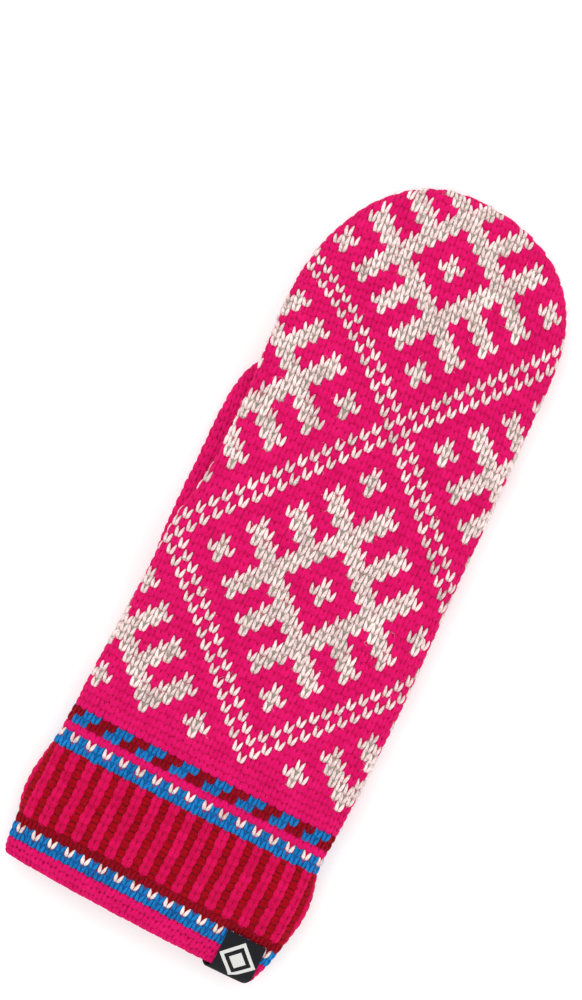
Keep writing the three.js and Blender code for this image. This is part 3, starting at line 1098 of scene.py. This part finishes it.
def thumb_stitches():
    """The stitches of the thumb, apart from those inside the hand."""
    all_rows = np.arange(1, int(thumb_last_row) + 1)
    row, column = every_stitch(all_rows, np.arange(THUMB_COLUMNS))
    x, y, z = middles(thumb_fabric, row, column).T
    outside_hand = z < hand_underside(x, y) + PALM_DEPTH
    keep = thumb_fabric.shows(row, column) & outside_hand
    return row[keep], column[keep]


# What each yarn knits: how its piece is named, its stitch, and how far that stands off
YARNS = {
    PINK: ("pink_stitches", PLUMP, 0.0),
    WHITE: ("natural_stitches", SLENDER, NATURAL_LIFT),
    BLUE: ("blue_stitches", SLENDER, 0.0),
    RED: ("dark_red_stitches", SLENDER, 0.0),
    RIB_PINK: ("ridges", RIDGE, 0.0),
    RIB_RED: ("valleys", BAR, 0.0),
}
FINISHES = {
    PINK: wool("pink_wool", linear(215, 19, 101), linear(188, 5, 80), 0.3),
    WHITE: wool("natural_wool", linear(251, 229, 226), linear(166, 142, 138), 0.4),
    BLUE: wool("blue_wool", linear(28, 125, 193), linear(14, 80, 140), 0.4),
    RED: wool("dark_red_wool", linear(146, 8, 27), linear(106, 2, 15), 0.4),
    RIB_PINK: wool("rib_pink_wool", linear(208, 14, 84), linear(172, 3, 54), 0.4),
    # painted light: the same dark red yarn as the red rows, given lighter colours against the
    # shade in the rib's valleys
    RIB_RED: wool("rib_red_wool_painted_light", linear(162, 6, 24), linear(126, 2, 15), 0.5),
}
KNITTING = bed("knitting_body")

# The record's material slots
HAND_SLOT = "pink_and_white_knitting"
PLAIN_SLOT = "plain_pink_knitting"
BORDER_SLOT = "border_knitting"
RIB_SLOT = "rib_knitting"


def finished(piece, material, replaced=None):
    """Gives a piece its material and its place in the record, and hides the solid that it stands
    for.
    """
    piece.data.materials.append(material)
    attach(piece, "root")
    if replaced:
        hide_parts(replaced)


def knit_region(prefix, row, column):
    """All the stitches of one part of the fabric, a piece for each yarn."""
    yarn = yarn_at(row, column)
    for code, (ending, shape, base) in YARNS.items():
        picked = yarn == code
        if picked.any():
            name = prefix + "_" + ending
            piece = stitches(name, hand_fabric, shape, row[picked], column[picked], base)
            finished(piece, FINISHES[code])


def fuzz(name, row, column, code, count):
    """Loose fibres on the stitches of one yarn."""
    picked = yarn_at(row, column) == code
    piece = fibres(name, hand_fabric, row[picked], column[picked], count)
    finished(piece, FINISHES[code])


def knit_hand_and_cuff():
    row, column = hand_stitches()
    back = hand_fabric.on_back(hand_fabric.centred(row, column))
    hand = row >= HAND_ROW
    border = (row >= BORDER_ROW) & (row < HAND_ROW)
    cuff = (row >= CUFF_ROW) & (row < BORDER_ROW)
    hem = row < CUFF_ROW
    knit_region("back", row[hand & back], column[hand & back])
    knit_region("palm", row[hand & ~back], column[hand & ~back])
    fuzz("pink_fibres", row[hand], column[hand], PINK, PINK_FIBRES)
    fuzz("natural_fibres", row[hand], column[hand], WHITE, NATURAL_FIBRES)
    knit_region("wrist", row[border], column[border])
    knit_region("cuff", row[cuff], column[cuff])
    fuzz("cuff_fibres", row[cuff], column[cuff], RIB_PINK, RIB_FIBRES)
    knit_region("hem", row[hem], column[hem])


def knit_thumb():
    row, column = thumb_stitches()
    piece = stitches("thumb_stitches", thumb_fabric, PLUMP, row, column)
    finished(piece, FINISHES[PINK])


def make_bodies():
    """The knitting's own body, a closed wall under the stitches of each part."""
    hand = bag_profile(BORDER_END + JOIN, LENGTH, WALL, **HAND_STEPS)
    thumb = bag_profile(THUMB_BODY_START, THUMB_END, THUMB_WALL, **THUMB_STEPS)
    wrist = band_profile(RIB_END, BORDER_END, WALL, WRIST_STEPS)
    cuff = band_profile(HEM_END, RIB_END, CUFF_WALL, CUFF_STEPS)
    for name, point_at, profile, around, fabric, slot, node in (
        ("hand_body", hand_point, hand, 2 * COLUMNS, hand_fabric, HAND_SLOT, "hand"),
        ("thumb_body", thumb_point, thumb, THUMB_AROUND, None, PLAIN_SLOT, "thumb"),
        ("wrist_body", hand_point, wrist, 2 * COLUMNS, hand_fabric, BORDER_SLOT, "wrist_border"),
        ("cuff_body", hand_point, cuff, 4 * COLUMNS, hand_fabric, RIB_SLOT, "ribbed_cuff"),
        ("hem_body", hand_point, hem_profile(), 2 * COLUMNS, None, PLAIN_SLOT, "hem"),
    ):
        finished(shell(name, point_at, profile, around, fabric), KNITTING, node)


def bag_profile(start, end, wall, inside_steps, outside_steps, outside_crowd):
    """A bag closed at its end: down its inside from the tip and up its outside again."""
    inside = crowded(start, end - wall - JOIN, inside_steps, INSIDE_CROWD)
    outside = crowded(start, end - BED_DEPTH - JOIN, outside_steps, outside_crowd)
    return [(along, wall) for along in inside[::-1]] + [(along, BED_DEPTH) for along in outside]


def band_profile(start, end, wall, steps):
    """A band open at both ends: up its outside and down its inside."""
    way = np.linspace(start + JOIN, end - JOIN, steps + 1)
    profile = [(along, BED_DEPTH) for along in way] + [(along, wall) for along in way[::-1]]
    return profile + profile[:1]


def rolled(radius, turns):
    """A way round the hem's end, at a distance from the middle of its wall."""
    middle = HEM_WALL / 2
    return [(HEM_TURN - radius * math.sin(a), middle - radius * math.cos(a)) for a in turns]


def hem_profile():
    """The hem, rolled at the bottom."""
    roll = rolled(HEM_WALL / 2 - BED_DEPTH, np.linspace(math.pi, 0, HEM_ROLL_STEPS + 1))
    top = HEM_END - JOIN
    profile = roll + [(top, BED_DEPTH), (top, HEM_WALL - BED_DEPTH)]
    return profile + profile[:1]


def label_path(distance):
    """The tape's way from its edge on the back, round the hem and up inside, as [along, inset]."""
    back = np.linspace(LABEL_LENGTH, HEM_TURN, LABEL_STRAIGHT_STEPS + 1)
    turns = np.linspace(0, math.pi, LABEL_TURN_STEPS + 1)[1:]
    inside = np.linspace(HEM_TURN, LABEL_INSIDE_END, LABEL_INSIDE_STEPS + 1)[1:]
    path = [(along, -distance) for along in back]
    path += rolled(HEM_WALL / 2 + distance, turns)
    path += [(along, HEM_WALL + distance) for along in inside]
    return np.array(path)


def tape_points(distance):
    """A grid of points a distance off the knitting: rows along the tape, columns across it."""
    along, inset = label_path(distance).T
    x = np.linspace(LABEL_LEFT, LABEL_RIGHT, LABEL_ACROSS + 1)
    on_back = inset <= -distance + 1e-6
    section = np.where(on_back, along, HEM_TURN)
    angle = angle_across(section[:, None], x[None], -distance)
    places = hand_point(along[:, None], angle, inset[:, None])
    places[..., 1] -= LENGTH / 2
    return places


def fold_label():
    """The woven tape, folded over the end of the cuff. Gives back the piece and its length."""
    places = tape_points(LABEL_GAP + LABEL_THICKNESS)
    across, down = places.shape[1] - 1, places.shape[0] - 1
    steps = np.linalg.norm(np.diff(places, axis=0), axis=2).mean(axis=1)
    run = np.concatenate([[0], np.cumsum(steps)])
    bm = bmesh.new()
    bmesh.ops.create_grid(bm, x_segments=across, y_segments=down, size=1)
    column, level = grid_steps(bm, across, down)
    level = down - level
    tape = bm.loops.layers.uv.new("tape")
    for face in bm.faces:
        for loop in face.loops:
            i = loop.vert.index
            loop[tape].uv = (column[i] / across * LABEL_WIDTH * MM, run[level[i]] * MM)
    for vert, place in zip(bm.verts, places[level, column] * MM):
        vert.co = place
    bm.normal_update()
    bmesh.ops.solidify(bm, geom=bm.faces[:], thickness=LABEL_THICKNESS * MM)
    piece = add_object("label_tape", mesh_of("label_tape", bm))
    finished(piece, woven_tape("woven_tape"), "label")
    return piece, run[-1]


# Floor, light and camera


FLOOR_SIZE = 4
FLOOR_GREY = (0.7, 0.7, 0.7, 1.0)
FLOOR_GLOW = 0.3
WHITE_LIGHT = (1.0, 1.0, 1.0, 1.0)
SKY_STRENGTH = 1.18


def lay_floor():
    bm = bmesh.new()
    bmesh.ops.create_grid(bm, x_segments=1, y_segments=1, size=FLOOR_SIZE)
    ground = add_object("floor", mesh_of("floor", bm))
    paper = Finish("white_paper", roughness=0.9)
    paper.set({
        "Base Color": FLOOR_GREY,
        "Emission Color": WHITE_LIGHT,
        "Emission Strength": FLOOR_GLOW,
    })
    ground.data.materials.append(paper.material)


def softbox(name, direction, distance, size, power):
    """A large square light that faces the mitten."""
    data = bpy.data.lights.new(name, "AREA")
    data.size = size
    data.energy = power
    lamp = bpy.data.objects.new(name, data)
    towards = Vector(direction).normalized()
    lamp.location = towards * distance
    lamp.rotation_euler = towards.to_track_quat("Z", "Y").to_euler()
    bpy.context.scene.collection.objects.link(lamp)


def light_studio():
    world = bpy.data.worlds.new("studio")
    world.use_nodes = True
    sky = world.node_tree.nodes["Background"].inputs
    sky["Color"].default_value = WHITE_LIGHT
    sky["Strength"].default_value = SKY_STRENGTH
    bpy.context.scene.world = world
    bpy.context.scene.view_settings.view_transform = "Standard"
    softbox("key_light", direction=(-0.5, 0.7, 0.9), distance=1.4, size=0.9, power=4.0)
    softbox("fill_light", direction=(0.9, -0.3, 0.9), distance=1.6, size=1.2, power=2.0)


# The photograph looks straight down at the mitten, which it shows turned clockwise.
# It is as high as VIEW_HEIGHT, measured in the plane at VIEW_PLANE.
VIEW_CENTRE = (-12.15, 17.7)
VIEW_TURN = 25.26
VIEW_HEIGHT = 340.8
VIEW_PLANE = 12.0
VIEW_DISTANCE = 1500.0
SENSOR_HEIGHT = 36.0


def place_camera():
    data = bpy.data.cameras.new("camera")
    data.sensor_fit = "VERTICAL"
    data.sensor_height = SENSOR_HEIGHT
    data.lens = SENSOR_HEIGHT * VIEW_DISTANCE / VIEW_HEIGHT
    eye = bpy.data.objects.new("camera", data)
    x, y = VIEW_CENTRE
    eye.location = Vector((x, y, VIEW_PLANE + VIEW_DISTANCE)) * MM
    eye.rotation_euler = (0, 0, math.radians(VIEW_TURN))
    bpy.context.scene.collection.objects.link(eye)
    bpy.context.scene.camera = eye


make_bodies()
knit_hand_and_cuff()
knit_thumb()
tape, tape_length = fold_label()
lay_floor()
light_studio()
place_camera()
